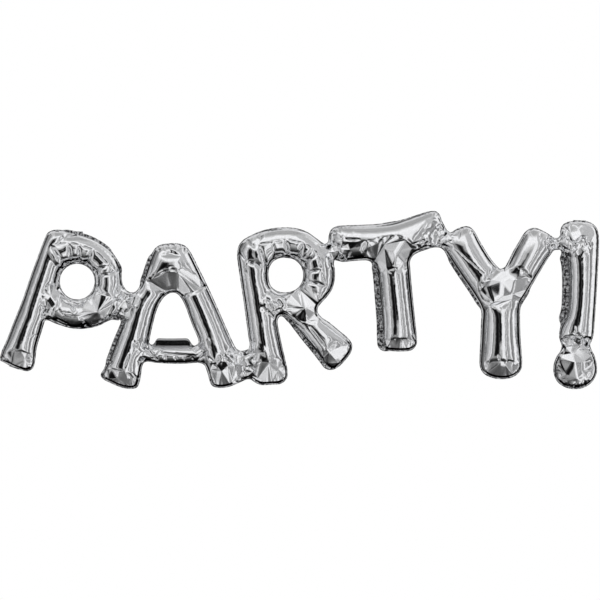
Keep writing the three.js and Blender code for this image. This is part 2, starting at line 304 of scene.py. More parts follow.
def weld_line(points, spacing, fine=20):
    """A smooth closed line through the points (a centripetal Catmull-Rom spline), in even steps."""
    p0, p1, p2, p3 = (np.roll(np.array(points, float), -k, 0)[:, None, :] for k in (-1, 0, 1, 2))
    gaps = [np.linalg.norm(q - p, axis=2, keepdims=True) for p, q in ((p0, p1), (p1, p2), (p2, p3))]
    k1, k2, k3 = np.cumsum(np.sqrt(gaps), 0)
    t = k1 + (k2 - k1) * np.linspace(0, 1, fine, endpoint=False)[None, :, None]

    def on_the_way(a, b, start, end):
        """Between a and b as t runs from start to end."""
        return (end - t) / (end - start) * a + (t - start) / (end - start) * b

    a1, a2, a3 = on_the_way(p0, p1, 0, k1), on_the_way(p1, p2, k1, k2), on_the_way(p2, p3, k2, k3)
    line = on_the_way(on_the_way(a1, a2, 0, k2), on_the_way(a2, a3, k1, k3), k1, k2).reshape(-1, 2)
    closed = np.vstack([line, line[:1]])
    run = run_along(closed)
    count = round(run[-1] / spacing)
    at = np.arange(count) * run[-1] / count
    return np.stack([np.interp(at, run, closed[:, k]) for k in range(2)], 1)


def unit(steps, least=0.0):
    """The steps at a length of 1. A least length keeps steps of no length from a division by 0."""
    return steps / (np.linalg.norm(steps, axis=1)[:, None] + least)


def along_weld(line):
    """Unit steps along a closed line."""
    return unit(np.roll(line, -1, 0) - np.roll(line, 1, 0))


def turned_inward(line):
    """Unit steps from the weld line into the film."""
    return along_weld(line)[:, ::-1] * (1, -1)


weld_lines = [weld_line(points, WELD_SPACING) for points in WELD_POINTS.values()]

# The film pattern: each sheet is laid out flat as small triangles, in even rows beside the weld
# and along every fold, so that a fold can run sharp.
ROW_REACHES = (0.0, 0.55, 1.9, 4.3)
PATTERN_ROWS = len(ROW_REACHES) - 1
# Folds as the photo shows them, in millimetres: where a chain of folds starts, across and up, and
# for each fold its depth and where it ends
FOLD_CHAINS = [
    (-348.6, 77, 1.3, -322, 79.8, 1.3, -307.3, 77, 1.6, -287, 70, 1.6, -266, 49, 1.4, -254.8, 39.2,
     1.4, -253.4, 19.6, 1.4, -260.4, 1.4),
    (-313.6, -19.6, 1.2, -340.2, -15.4), (-282.8, -16.8, 1.2, -313.6, -19.6),
    (-58.8, 78.4, 1.3, -37.8, 79.8, 1.3, -19.6, 84, 1.5, 5.6, 79.8, 1.5, 16.8, 71.4, 1.5, 25.2, 64.4,
     1.5, 29.4, 42, 1.2, 37.8, 19.6),
    (-329, 50.4, 3.5, -348.6, 77), (-319.2, 53.2, 3, -322, 79.8), (-308.7, 53.2, 2.5, -307.3, 77),
    (-299.6, 50.4, 3.5, -287, 70), (-287, 40.6, 3, -266, 49), (-281.4, 33.6, 3, -254.8, 39.2),
    (-282.8, 14, 3.5, -260.4, 1.4), (-289.8, 2.8, 3.5, -282.8, -16.8), (-303.8, -1.4, 1.2, -302.4, -15.4),
    (-317.8, -1.4, 3, -313.6, -19.6), (-333.2, 4.2, 3, -340.2, -15.4), (-336, 16.8, 3.5, -351.4, 0),
    (-282.8, -16.8, 2.5, -301, -28, 2.5, -296.8, -40.6), (-260.4, 1.4, 1.6, -282.8, -16.8),
    (-338.8, -26.6, 2, -324.8, -33.6, 2, -326.2, -40.6), (-340.2, -4.2, 3, -354.2, -19.6),
    (-347.2, 5.6, 2, -344.4, -22.4), (-337.4, -12.6, 1.6, -327.6, -23.8),
    (-352.8, -8.4, 2.5, -358.4, -22.4), (-417.2, -78.4, 3, -401.8, -89.6, 2.2, -389.2, -71.4),
    (-401.8, -89.6, 2.6, -383.6, -83.3), (-389.2, -71.4, 2.2, -383.6, -83.3, 2.6, -372.4, -85.4),
    (-383.6, -83.3, 2.4, -379.4, -99.4), (-401.8, -89.6, 2.4, -404.6, -93.8), (-378, -51.8, 1, -364, -47.6),
    (-214.2, 26.6, 4, -189.7, 14), (-225.4, 21, 2.5, -214.2, 26.6), (-163.1, 5.6, 4, -131.6, 19.6),
    (-207.2, 28, 3.5, -182, 42, 3.5, -170.8, 40.6, 3.5, -140, 16.8), (-184.8, 37.8, 2.2, -182, 12.6),
    (-172.2, 37.8, 2.6, -173.6, 12.6), (-168, 35, 2.6, -148.4, 12.6), (-196, 28, 2, -186.2, 12.6),
    (-198.8, 75.6, 2, -196, 67.2), (-189, 79.8, 2, -187.6, 68.6), (-179.2, 79.8, 2, -180.6, 70),
    (-168, 78.4, 2, -170.8, 68.6), (-158.2, 74.2, 2, -162.4, 65.8), (-204.4, -72.8, 2.4, -151.2, -78.4),
    (-212.8, -57.4, 3, -204.4, -72.8), (-201.6, -53.2, 2.6, -191.8, -67.2),
    (-214.2, -67.2, 3, -200.2, -82.6), (-205.8, -81.2, 2.4, -193.2, -70), (-133, -57.4, 3, -145.6, -70),
    (-144.2, -54.6, 2.6, -154, -67.2), (-128.8, -70, 3, -142.8, -84), (-151.2, -78.4, 2.4, -145.6, -86.8),
    (-187.6, -74.2, 2, -189, -86.8), (-173.6, -77, 2, -172.2, -88.2), (-162.4, -77, 1.8, -159.6, -88.2),
    (-112, -74.2, 3, -116.2, -99.4), (-100.8, -92.4, 3, -96.6, -116.2), (-128.8, -98, 2.6, -117.6, -120.4),
    (-116.2, -99.4, 2.2, -124.6, -120.4), (-110.6, -72.8, 3, -92.4, -92.4),
    (-109.2, -99.4, 2, -106.4, -123.2), (-130.2, -78.4, 2.6, -119, -86.8),
    (-236.6, -72.8, 1.6, -245, -96.6), (-281.4, -103.6, 2.6, -268.8, -113.4),
    (-254.8, -109.2, 2.4, -259, -121.8), (-268.8, -113.4, 2, -254.8, -109.2, 2.4, -235.2, -120.4),
    (-235.2, -100.8, 2.2, -224, -112), (-275.8, -78.4, 2, -263.2, -86.8), (-46.2, 47.6, 3.5, -58.8, 78.4),
    (-53.2, 44.8, 3, -67.2, 53.2), (-16.1, 60.2, 3.2, -19.6, 84), (-32.2, 57.4, 2, -37.8, 79.8),
    (-2.8, 61.6, 3.2, 5.6, 79.8), (5.6, 51.8, 3.2, 25.2, 64.4), (3.5, 57.4, 1.8, 16.8, 71.4),
    (11.2, 39.2, 3, 29.4, 42), (4.9, 26.6, 3.5, 37.8, 19.6), (2.1, 16.8, 3.2, 23.8, -1.4),
    (-7, 11.2, 3, 2.8, -9.8), (-23.8, -11.2, 3.5, 7, -11.2, 3.5, 22.4, -7), (-34.3, 4.2, 3.2, -23.8, -11.2),
    (-42, 0, 3, -23.8, -11.2), (-37.8, -16.8, 3, -23.8, -11.2), (-22.4, 5.6, 2.4, -16.8, -9.8),
    (-47.6, 5.6, 3, -37.8, -16.8), (7.7, -30.8, 4, 26.6, -23.8), (7.7, -30.8, 2.2, 40.6, -72.8),
    (-23.8, -19.6, 2, 4.2, -40.6), (-5.6, -25.2, 2, 7.7, -30.8), (-18.2, -14, 2, -5.6, -25.2),
    (40.6, -72.8, 2.8, 57.4, -92.4), (40.6, -72.8, 2.8, 71.4, -58.8), (40.6, -72.8, 2.4, 30.8, -85.4),
    (49, -82.6, 2, 64.4, -71.4), (-64.4, -92.4, 2.4, -53.2, -86.8, 2.8, -43.4, -88.2),
    (-53.2, -86.8, 2.8, -58.8, -109.2), (-43.4, -88.2, 2.8, -39.2, -112),
    (-43.4, -88.2, 2.4, -30.8, -96.6, 2.4, -19.6, -98), (-30.8, -96.6, 2.2, -26.6, -112),
    (-74.2, 53.2, 4, -60.2, 50.4), (-86.8, 67.2, 2.6, -74.2, 53.2, 1.2, -74.2, 35),
    (-72.8, 82.6, 2, -61.6, 70),
    (106.4, 58.8, 3.8, 117.6, 77, 3.2, 144.2, 86.1, 3.8, 155.4, 71.4, 3.8, 144.2, 51.8),
    (145.6, 82.6, 3, 134.4, 64.4, 2.8, 131.6, 49), (117.6, 70, 3, 127.4, 47.6),
    (120.4, 44.8, 3, 131.6, 46.2), (85.4, 64.4, 2.6, 92.4, 82.6), (60.2, 84, 1.8, 85.4, 84),
    (92.4, 82.6, 2, 117.6, 77), (64.4, 53.2, 2.2, 70, 70), (53.2, 53.2, 2.6, 57.4, 74.2),
    (46.2, 79.8, 2.6, 58.8, 72.8), (155.4, 77, 2, 179.2, 85.4), (165.2, 64.4, 2, 162.4, 81.2),
    (117.6, -57.4, 2.4, 114.8, -70), (126, -57.4, 2.4, 124.6, -71.4), (134.4, -53.2, 2.6, 135.8, -71.4),
    (142.8, -56, 2.4, 145.6, -71.4), (151.2, -53.2, 2.4, 155.4, -68.6), (158.2, -50.4, 2.2, 163.8, -61.6),
    (100.8, 44.8, 2.4, 109.2, 37.8), (155.4, 49, 2.4, 145.6, 42),
    (250.6, 14, 3.8, 266, 28, 3.5, 273, 43.4, 2.6, 284.2, 44.8),
    (299.6, 28, 3.6, 296.1, 8.4, 3.4, 268.8, -2.8, 3.6, 250.6, 14),
    (266, 28, 2.4, 281.4, 25.2, 2.4, 299.6, 28), (261.8, 18.2, 2.6, 280, 5.6),
    (292.6, 33.6, 2.8, 305.2, 42, 3.4, 317.8, 36.4, 3.4, 326.2, 21), (285.6, 44.8, 2.6, 292.6, 33.6),
    (298.2, 8.4, 2.2, 326.2, 21), (261.8, -9.8, 3.4, 295.4, 1.4, 3.2, 308, -5.6),
    (253.4, -14, 3, 261.8, -9.8), (259, -103.6, 2.8, 278.6, -88.2, 2.4, 285.6, -89.6, 2.8, 295.4, -105),
    (252, -92.4, 2.4, 263.2, -89.6), (295.4, -92.4, 2.4, 309.4, -95.2), (278.6, -88.2, 1.6, 275.8, -75.6),
    (196, 77, 2.6, 212.8, 72.8, 1.2, 264.6, 29.4), (225.4, 100.8, 1.8, 221.2, 84),
    (337.4, 98, 1.6, 333.2, 81.2), (354.2, 84, 2.2, 345.8, 70), (348.6, 89.6, 1.8, 341.6, 79.8),
    (366.8, 103.6, 2.8, 378, 93.8, 2.6, 399, 89.6), (366.8, 86.8, 3, 380.8, 78.4, 2.8, 400.4, 82.6),
    (372.4, 96.6, 2.4, 380.8, 78.4, 2.4, 383.6, 67.2), (392, 91, 2.4, 400.4, 72.8),
    (366.8, 72.8, 2.4, 380.8, 67.2), (400.4, 82.6, 2, 406, 70), (387.8, 106.4, 1.4, 389.2, 98),
    (365.4, -56, 2.8, 385, -47.6, 2.6, 394.8, -53.2, 2.8, 408.8, -57.4), (379.4, -61.6, 2.4, 385, -47.6),
    (400.4, -61.6, 2.4, 394.8, -53.2), (385, -47.6, 1.4, 383.6, -35),
    (379.4, -74.2, 2.4, 382.2, -86.8, 2.6, 372.4, -103.6),
    (382.2, -86.8, 2.4, 394.8, -100.8, 2.2, 406, -92.4), (372.4, -103.6, 2.4, 358.4, -103.6),
    (372.4, -103.6, 2.6, 376.6, -121.8), (394.8, -100.8, 2.6, 397.6, -120.4),
    (397.6, -72.8, 2.2, 394.8, -86.8), (364, -84, 2, 372.4, -103.6), (394.8, -86.8, 2, 394.8, -100.8),
    (382.2, -86.8, 2, 394.8, -86.8), (383.6, -121.8, 2, 386.4, -109.2), (406, -110.6, 2, 394.8, -100.8),
]
FOLDS = []
for x0, z0, *chain in FOLD_CHAINS:
    for k in range(0, len(chain), 3):
        depth, x1, z1 = chain[k:k + 3]
        FOLDS.append((x0, z0, x1, z1, depth))
        x0, z0 = x1, z1

# Where the film breaks into flat facets between the folds, at feet and joints: middle, half sizes
# and turn of each oval place
FACETED = [
    (-389.2, -86.8, 24, 15, -20), (-257.6, -110.6, 30, 14, -14), (-113.4, -106.4, 26, 19, 10),
    (-40.6, -99.4, 26, 19, 5), (53.2, -81.2, 22, 20, -45), (137.2, -63, 28, 9, 0), (280, -96.6, 32, 13, 0),
    (287, 16.8, 36, 27, 10), (130.2, 63, 38, 24, 0), (382.2, -89.6, 28, 26, 0), (-173.6, 23.8, 38, 17, 0),
    (8.4, -7, 30, 22, -30), (-284.2, -11.2, 24, 16, 30), (383.6, 93.8, 24, 11, 0), (-347.2, 2.8, 10, 20, 0),
]


def far_inside(x, z, middle_x, middle_z, half_long, half_short, turn):
    """Distance from the middle of an oval place, 1 on its rim."""
    c, s = math.cos(math.radians(turn)), math.sin(math.radians(turn))
    dx, dz = x - middle_x, z - middle_z
    return np.hypot((dx * c + dz * s) / half_long, (dz * c - dx * s) / half_short)


def faceted(x, z):
    """1 where the film is flat between its folds, 0 where it is round."""
    return np.max([np.clip((1.15 - far_inside(x, z, *oval)) * 4, 0, 1) for oval in FACETED], 0)


# Crumpled places, where spare film is pressed into small facets: middle, half sizes and turn of
# each oval place, and how high its facets stand
CRUMPLES = [
    (-245, -4.2, 14, 25, -22.8, 2.6), (-75.6, -91, 23, 28, 10, 2.6), (47.6, 70, 15, 25, 27, 2.6),
    (193.2, 88.2, 15, 29, -23, 2.6), (373.8, 81.2, 25, 17, 0, 2.6), (386.4, -64.4, 26, 13, 0, 2.6),
    (-222.6, -64.4, 7, 9, 0, 1), (-130.2, -64.4, 7, 9, 0, 1), (-352.8, -11.2, 7, 9, 0, 1.1),
    (-42, -8.4, 9, 8, 0, 1.1),
]
LEAST_CRUSH = 0.05
# How much of a place is facets where folds are flat-sided, and the share of loose points that the
# most crumpled places go without
FLAT_SHARE, LEFT_OUT = 0.9, 0.55
# Shares of the spacing: how near the rim a fold may come, how far it may reach to join it, how near
# two fold points are one, how near the rim and a fold a loose point may lie, and its shake
SHY_OF_RIM, REACH_TO_RIM, SAME_POINT, POINT_TO_RIM, POINT_TO_FOLD, SHAKE = 0.45, 2, 0.55, 0.6, 0.62, 0.2
# The triangulation keeps what lies inside its lines and joins points closer than this, and a
# triangle between points of the innermost row may lie this far outside it
CUT_INSIDE, SAME_PLACE, ROW_SLACK = 1, 1e-4, 0.4


def crumpled(x, z):
    """How high the small facets stand at each place."""
    high = [height * np.clip((1.5 - far_inside(x, z, *oval)) * 2, 0, 1) for *oval, height in CRUMPLES]
    return np.maximum(np.max(high, 0), LEAST_CRUSH)


def nearest_of(places):
    """A tree that finds the nearest of some flat places. Each is given as number, across, up."""
    tree = KDTree(len(places))
    for i, x, z in places:
        tree.insert((x, z, 0), i)
    tree.balance()
    return tree


def doubled_area(a, b, c):
    """Twice the area of flat triangles, above 0 where they run anticlockwise."""
    return (b[:, 0] - a[:, 0]) * (c[:, 1] - a[:, 1]) - (b[:, 1] - a[:, 1]) * (c[:, 0] - a[:, 0])


def rows_beside_weld():
    """Even rows of points from the weld into the film, their triangles, and who follows whom."""
    rows = [np.vstack([line + turned_inward(line) * reach for line in weld_lines]) for reach in ROW_REACHES]
    count = len(rows[0])
    here = np.arange(count)
    starts = np.cumsum([len(line) for line in weld_lines])[:-1]
    after = np.concatenate([np.roll(loop, -1) for loop in np.split(here, starts)])
    triangles = []
    for k in range(PATTERN_ROWS):
        a, b, c, d = here + k * count, after + k * count, after + (k + 1) * count, here + (k + 1) * count
        halves = ((a, b, c), (a, c, d)) if k % 2 else ((a, b, d), (b, c, d))
        triangles += [np.stack(half, 1) for half in halves]
    return rows, triangles, after.tolist()


weld_rows, row_triangles, follower = rows_beside_weld()
rim = weld_rows[-1]
into = rim - weld_rows[0]
rim_tree = nearest_of([(i, x, z) for i, (x, z) in enumerate(rim)])


def clearance(x, z):
    """Distance to the innermost row, below 0 between it and the weld."""
    _, i, far = rim_tree.find((x, z, 0))
    inside = (x - rim[i, 0]) * into[i, 0] + (z - rim[i, 1]) * into[i, 1] > 0
    return far if inside else -far


def along_folds(folds):
    """The points of the innermost row and of the folds, the lines that join them, and the folds' own."""
    points = [tuple(p) for p in rim]
    lines = list(enumerate(follower))
    fold_points = []
    for x0, z0, x1, z1, _ in folds:
        flat_sided = faceted((x0 + x1) / 2, (z0 + z1) / 2) > FLAT_SHARE
        pieces = 1 if flat_sided else max(round(math.hypot(x1 - x0, z1 - z0) / WELD_SPACING), 1)
        last = None
        for k in range(pieces + 1):
            x, z = x0 + (x1 - x0) * k / pieces, z0 + (z1 - z0) * k / pieces
            if clearance(x, z) < SHY_OF_RIM * WELD_SPACING:
                _, on_rim, far = rim_tree.find((x, z, 0))
                joins_rim = flat_sided and far < REACH_TO_RIM * WELD_SPACING
                if joins_rim and last is not None:
                    lines.append((last, on_rim))
                last = on_rim if joins_rim else None
                continue
            near = [i for i, px, pz in fold_points if math.hypot(px - x, pz - z) < SAME_POINT * WELD_SPACING]
            if near:
                this = near[0]
            else:
                this = len(points)
                points.append((x, z))
                fold_points.append((this, x, z))
            if last is not None and last != this:
                lines.append((last, this))
            last = this
    return points, lines, fold_points


def loose_points(fold_points, seed):
    """Points between the folds, a grid of equal triangles that is shaken a little."""
    fold_tree = nearest_of(fold_points)
    draw = np.random.default_rng(seed)
    low, high = weld_rows[0].min(0), weld_rows[0].max(0)
    x, z = np.meshgrid(np.arange(low[0], high[0], WELD_SPACING),
                       np.arange(low[1], high[1], WELD_SPACING * math.sqrt(0.75)))
    x[1::2] += WELD_SPACING / 2
    x, z = (v.ravel() + draw.uniform(-SHAKE, SHAKE, v.size) * WELD_SPACING for v in (x, z))
    points = []
    for place in zip(x.tolist(), z.tolist()):
        kept = draw.uniform() > LEFT_OUT or crumpled(*place) < 1
        if kept and faceted(*place) < FLAT_SHARE and clearance(*place) > POINT_TO_RIM * WELD_SPACING and (
                fold_tree.find((*place, 0))[2] > POINT_TO_FOLD * WELD_SPACING):
            points.append(place)
    return points


def lay_out(folds, seed):
    """Flat places of the film's points and its triangles. The points on the weld come first."""
    points, lines, fold_points = along_folds(folds)
    points += loose_points(fold_points, seed)
    flat, _, cells, source, _, _ = geometry.delaunay_2d_cdt(
        [Vector(p) for p in points], lines, [], CUT_INSIDE, SAME_PLACE)
    count, first_rim = len(rim), PATTERN_ROWS * len(rim)
    renumber = np.zeros(len(flat), int)
    extra = []
    for i, old in enumerate(source):
        on_rim = [k for k in old if k < count]
        renumber[i] = first_rim + on_rim[0] if on_rim else first_rim + count + len(extra)
        if not on_rim:
            extra.append(tuple(flat[i]))
    triangles = list(row_triangles)
    for cell in cells:
        middle = sum((flat[i] for i in cell), Vector((0, 0))) / 3
        deep = clearance(*middle)
        in_rows = all(renumber[i] < first_rim + count for i in cell)
        if deep > 0 or in_rows and deep > -ROW_SLACK:
            triangles.append(renumber[[list(cell)]])
    places = np.vstack(weld_rows + [np.array(extra)])
    triangles = np.vstack(triangles)
    back = doubled_area(*(places[triangles[:, k]] for k in range(3))) < 0
    triangles[back] = triangles[back][:, ::-1]
    return places, triangles, np.arange(len(places)) < count


def edges_of(triangles):
    """The edges, the two points that face each (-1 at the weld), and the three edges of each triangle."""
    sides = np.vstack([triangles[:, [0, 1]], triangles[:, [1, 2]], triangles[:, [2, 0]]])
    facing = np.concatenate([triangles[:, 2], triangles[:, 0], triangles[:, 1]])
    key = np.sort(sides, 1)
    order = np.lexsort((key[:, 1], key[:, 0]))
    key, facing = key[order], facing[order]
    new = np.concatenate([[True], np.any(key[1:] != key[:-1], 1)])
    number = np.cumsum(new) - 1
    of_side = np.empty(len(order), int)
    of_side[order] = number
    across = np.full((number[-1] + 1, 2), -1)
    twin = np.where(~new)[0]
    across[number[twin]] = np.stack([facing[twin - 1], facing[twin]], 1)
    return key[new], across, of_side.reshape(3, -1).T


def refined(values, triangles, on_weld, rounded):
    """Each triangle in four. With rounded, the inner points move as Loop's rule says."""
    edges, across, of_triangle = edges_of(triangles)
    inner = across[:, 0] >= 0
    middle = (values[edges[:, 0]] + values[edges[:, 1]]) / 2
    old = values
    if rounded:
        middle[inner] = middle[inner] * 0.75 + (values[across[inner, 0]] + values[across[inner, 1]]) * 0.125
        count = len(values)
        one, other = edges.T
        around = np.stack([np.bincount(one, v[other], count) + np.bincount(other, v[one], count)
                           for v in values.T], 1)
        valence = np.bincount(edges.ravel(), minlength=count)[:, None]
        share = np.where(valence > 3, 3 / 8, 9 / 16)
        rounded_off = values * (1 - share) + around / valence * share
        old = np.where(on_weld[:, None], values, rounded_off)
    a, b, c = triangles.T
    ab, bc, ca = (len(values) + of_triangle).T
    quarters = np.vstack([np.stack(t, 1) for t in ((a, ab, ca), (b, bc, ab), (c, ca, bc), (ab, bc, ca))])
    return np.vstack([old, middle]), quarters, np.concatenate([on_weld, ~inner])


# The necks: narrow webs of film between two letters, where the weld leaves only a flat passage for
# the air. A neck's turn is that of its length, and its reach is taken across it.
Neck = namedtuple("Neck", "name one other x z turn half reach fullness")
NECKS = [Neck(*row) for row in [
    ("neck_p_a", "letter_p", "letter_a", -246.4, -3.8, -22.8, 8, 24, 6),
    ("neck_a_r", "letter_r", "letter_a", -75.7, -90.3, 10, 12, 26, 7),
    ("neck_r_t", "letter_r", "letter_t", 43.8, 67.8, 27, 8, 22, 6),
    ("neck_t_y", "letter_t", "letter_y", 192.8, 87, -23.2, 10, 24, 7),
    ("neck_y_mark", "letter_y", "mark_stem", 361.2, 79.8, 0, 6, 18, 5),
    ("neck_mark_dot", "mark_stem", "mark_dot", 387.1, -62.3, 90, 7, 26, 8),
]]


def along_and_beside(x, z, neck):
    """Places measured from a neck's middle, along it and across it."""
    turn = math.radians(neck.turn)
    dx, dz = x - neck.x, z - neck.z
    return dx * math.cos(turn) + dz * math.sin(turn), dz * math.cos(turn) - dx * math.sin(turn)


# A neck fades out at this multiple of its half length, and outside the necks any fullness will do
NECK_ENDS, ANY_FULLNESS = 1.6, 6.0


def neck_share(x, z):
    """1 in a neck, 0 a little way into the letters, and the fullness there."""
    share, full = np.zeros(len(x)), np.full(len(x), ANY_FULLNESS)
    for neck in NECKS:
        s, t = along_and_beside(x, z, neck)
        here = np.clip(NECK_ENDS - np.abs(s) / neck.half, 0, 1) * (np.abs(t) < neck.reach)
        full = np.where(here > share, neck.fullness, full)
        share = np.maximum(share, here)
    return share, full


# The tubes that the letters are drawn with: where two meet, each keeps its own round and the film
# draws in between them. Each row gives across, up and radius at both ends.
TUBES = [
    (-397, -90, 22.5, -343, 80, 14.5), (-249, -100, 23.5, -190.5, 66, 15.5),
    (-103, -100, 23.5, -171.5, 70, 15.5), (-222, -76.7, 11.8, -130, -76.7, 11.8),
    (-201, 45, 23, -154, 45, 23), (-43, -100, 23, -70, 82, 17.5), (56, -78, 23, 2, -20.5, 17),
    (50, 77.5, 22.5, 121, 81.5, 24.5), (121, 81.5, 24.5, 193, 100, 24.8), (140, -62, 24, 127, 76, 23),
    (220, 85, 24.5, 277, -1, 23.5), (336, 85, 23, 284.5, -1.5, 22), (281, -90, 28.5, 280.7, 10, 26),
    (387, -50, 22.5, 394.5, 0, 19.7), (394.5, 0, 19.7, 391, 95, 26.5), (366, -96, 24, 407, -96, 24),
]
# The bowls of P and R are straight pieces of tube from fold to fold, by their radius
BOWLS = {
    18: [
        (-338.5, 63.3), (-321.7, 71.6), (-307.3, 72.5), (-289.8, 66.6), (-272.2, 47.1), (-268.2, 35),
        (-270.9, 7.4), (-283.6, -10.5), (-316.8, -20.8), (-340.4, -10.2), (-351.3, 4.2),
    ],
    20.9: [
        (-55.5, 64.9), (-38.8, 77), (-17.8, 80.8), (3.7, 74.6), (17.6, 62.5), (26.5, 41.5), (25.1, 21.9),
        (15.8, 5), (1.4, -6.1), (-19.5, -11.1), (-42, -5.6),
    ],
}
for radius, path in BOWLS.items():
    TUBES += [(*a, radius, *b, radius) for a, b in zip(path, path[1:])]
# How far the film may stand over a tube's radius and past the end of its line, in millimetres. A
# piece of a bowl is shorter than BOWL_PIECE. Between two tubes the film rounds off over VALLEY.
OVER_RADIUS, PAST_END, PAST_BOWL_END, BOWL_PIECE = 1.5, 9, 1, 40
VALLEY, FAR_BELOW = 30, -1e4


def from_line(x, z, x0, z0, x1, z1):
    """Distance to a line between two points, and how far along it, 0 to 1."""
    t = np.clip(((x - x0) * (x1 - x0) + (z - z0) * (z1 - z0)) / ((x1 - x0) ** 2 + (z1 - z0) ** 2), 0, 1)
    return np.hypot(x - x0 - t * (x1 - x0), z - z0 - t * (z1 - z0)), t


def round_tubes(x, z):
    """Square of the height that the fullest tube over each point allows."""
    allowed = np.full(len(x), FAR_BELOW)
    for x0, z0, r0, x1, z1, r1 in TUBES:
        long = math.hypot(x1 - x0, z1 - z0)
        s = ((x - x0) * (x1 - x0) + (z - z0) * (z1 - z0)) / long
        beside = ((z - z0) * (x1 - x0) - (x - x0) * (z1 - z0)) / long
        past = np.maximum(np.maximum(-s, s - long) - (PAST_END if long > BOWL_PIECE else PAST_BOWL_END), 0)
        here = (r0 + (r1 - r0) * np.clip(s / long, 0, 1) + OVER_RADIUS) ** 2 - beside ** 2 - past ** 2
        overlap = np.maximum(VALLEY - np.abs(here - allowed), 0)
        allowed = np.maximum(here, allowed) + overlap ** 2 / (4 * VALLEY)
    return allowed


# The height of the film comes from a skin pressed by air: limits on how stiffly neighbours are tied,
# the most steps of its solution, the share that is left outside every tube, and how softly the
# skin passes to the tubes' round
TIE_LIMITS, MOST_STEPS, LEFT_OUTSIDE, SOFT_LIMIT = (0.02, 5), 500, 0.35, 12
# The smallest area of a triangle that counts, and what may be left over at the end of the solution
LEAST_AREA, LEFT_OVER = 1e-3, 1e-8


def fullness(places, triangles, on_weld):
    """How far each point stands off the welded plane: a strip between two welds becomes a round tube."""
    a, b, c = (places[triangles[:, k]] for k in range(3))
    area = np.maximum(np.abs(doubled_area(a, b, c)) / 2, LEAST_AREA)
    # Two neighbours are tied by the cotangents of the angles that face their edge
    i, j = triangles.T.ravel(), triangles[:, [1, 2, 0]].T.ravel()
    tie = [((p - r) * (q - r)).sum(1) / (4 * area) for p, q, r in ((a, b, c), (b, c, a), (c, a, b))]
    tie = np.clip(np.concatenate(tie), *TIE_LIMITS)
    count = len(places)
    share = np.bincount(triangles.ravel(), np.repeat(area / 3, 3), count)
    in_neck, full = neck_share(*places.T)
    hold = share * 2 / full ** 2 * in_neck ** 2
    free = ~on_weld

    def spread(u):
        """What each point passes to its neighbours and to its hold. The weld passes nothing."""
        flow = tie * (u[i] - u[j])
        return (np.bincount(i, flow, count) - np.bincount(j, flow, count) + hold * u) * free

    # The square of the height, solved by conjugate gradients from an even pressure
    u = np.zeros(count)
    rest = 2 * share * free
    way, size = rest.copy(), rest @ rest
    for _ in range(MOST_STEPS):
        step = spread(way)
        gain = size / (way @ step)
        u += gain * way
        rest = rest - gain * step
        now = rest @ rest
        if now < LEFT_OVER * count:
            break
        way, size = rest + now / size * way, now
    # The letters' tubes limit it, but not in the necks
    allowed = np.maximum(round_tubes(*places.T), LEFT_OUTSIDE * u)
    allowed += (u - allowed).clip(0) * np.clip(in_neck * 2, 0, 1)
    soft = SOFT_LIMIT * np.log1p(np.exp(-np.abs(u - allowed) / SOFT_LIMIT)) * (u > SOFT_LIMIT) * (1 - in_neck)
    return np.sqrt(np.maximum(np.minimum(u, allowed) - soft, 0))


# Half the width of a fold, as a multiple of its depth. An end that doesn't reach the weld fades
# over a third of the fold.
FOLD_SPREAD, FADE = 1.7, 3


def fold_depth(x, z, folds):
    """How deep the folds dip under each point: a sharp bottom, and walls that round off."""
    deep = np.zeros(len(x))
    for x0, z0, x1, z1, depth, open0, open1 in folds:
        far, t = from_line(x, z, x0, z0, x1, z1)
        fade = np.minimum(1, np.maximum(open0, t * FADE)) * np.minimum(1, np.maximum(open1, (1 - t) * FADE))
        deep = np.maximum(deep, depth * fade * np.clip(1 - far / (FOLD_SPREAD * depth), 0, 1) ** 2)
    return deep


def evened(values, times, middle=1):
    """Values round a closed line, each drawn to its two neighbours."""
    for _ in range(times):
        values = (np.roll(values, 1, 0) + values * middle + np.roll(values, -1, 0)) / (2 + middle)
    return values


def weld_bend(line):
    """How sharply the weld turns round the film, per millimetre."""
    ahead = np.roll(line, -1, 0) - line
    turn = np.arctan2(ahead[:, 1], ahead[:, 0])
    change = (np.roll(turn, 1) - turn + math.pi) % (2 * math.pi) - math.pi
    return evened(change, 2) / WELD_SPACING


weld_places = np.vstack(weld_lines)
weld_bends = np.concatenate([weld_bend(line) for line in weld_lines])
weld_ahead = np.vstack([along_weld(line) for line in weld_lines])
weld_tree = nearest_of([(number, x, z) for number, (x, z) in enumerate(weld_places)])
# Pleats beside the weld: how close they follow each other, how high they are on a straight weld and
# what a sharp bend adds. Into the film they rise up to PLEAT_START and fade from PLEAT_FULL on.
PLEAT_TURNS, PLEAT_LOW, PLEAT_RISE, SHARP_BEND = 0.42, 0.10, 0.85, 0.03
PLEAT_START, PLEAT_FULL, PLEAT_REACH = 2, 3, 4


def puckers(x, z):
    """Short pleats square to the weld. They are high where the weld turns round the film."""
    found = [weld_tree.find((px, pz, 0)) for px, pz in zip(x.tolist(), z.tolist())]
    near, far = np.array([f[1] for f in found]), np.array([f[2] for f in found])
    offset = np.stack([x, z], 1) - weld_places[near]
    run = near * WELD_SPACING + (offset * weld_ahead[near]).sum(1)
    # Slow waves beside the run keep the pleats from following each other evenly
    pleat = np.abs(np.sin(run * PLEAT_TURNS + 1.6 * np.sin(run * 0.09) + np.sin(run * 0.031))) - 0.6
    uneven = 0.6 + 0.4 * np.sin(run * 0.053 + 2 * np.sin(run * 0.017))
    high = (PLEAT_LOW + PLEAT_RISE * np.clip(weld_bends[near] / SHARP_BEND, 0, 1)) * uneven * pleat
    return high * np.exp(-np.maximum(far - PLEAT_FULL, 0) / PLEAT_REACH) * np.clip(far / PLEAT_START, 0, 1)


